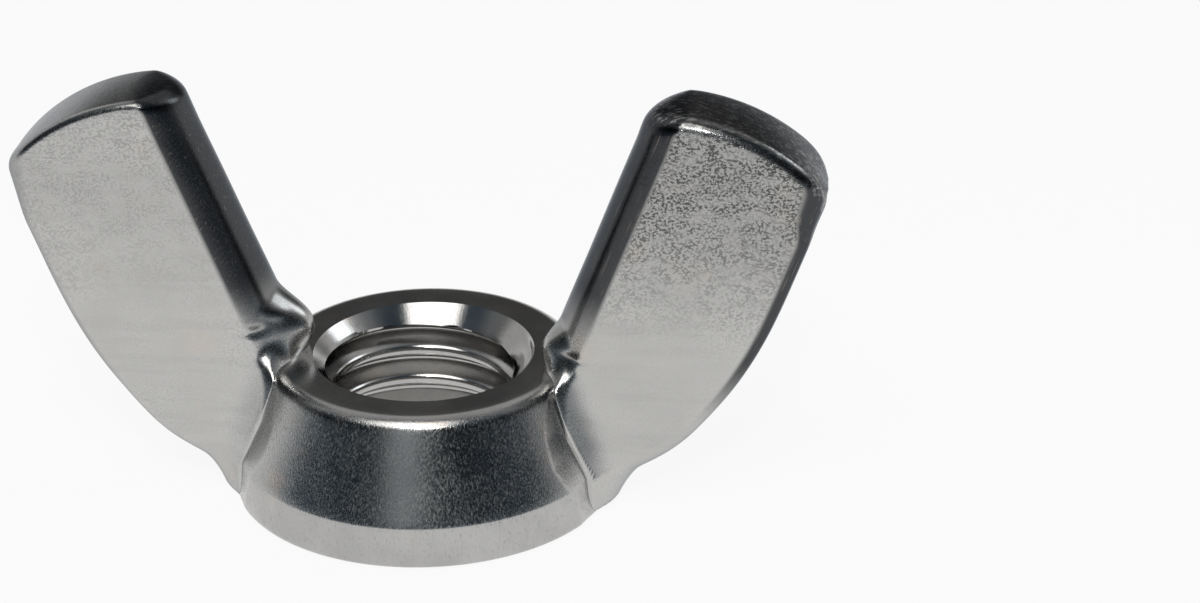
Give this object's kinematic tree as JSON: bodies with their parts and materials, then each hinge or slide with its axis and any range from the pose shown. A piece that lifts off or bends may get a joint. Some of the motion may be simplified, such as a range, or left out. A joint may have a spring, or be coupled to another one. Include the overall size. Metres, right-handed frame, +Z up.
{
  "type": "wing nut",
  "caption": "Forged stainless wing nut with a conical threaded boss and two upswept wings for tightening by hand on a screw or stud.",
  "frame": {"origin": "centre of the bearing face, at the bottom of the thread", "axes": "+Z up along the thread from the bearing face to the wing tips, +X along the wings towards the right wing, +Y across them"},
  "size_m": [0.0302, 0.0144, 0.0155],
  "materials": {
    "turned_stainless": "gloss",
    "forged_stainless": "gloss"
  },
  "bodies": {
    "root": {"boss": "turned_stainless", "left_wing": "forged_stainless", "right_wing": "forged_stainless"}
  },
  "joints": []
}
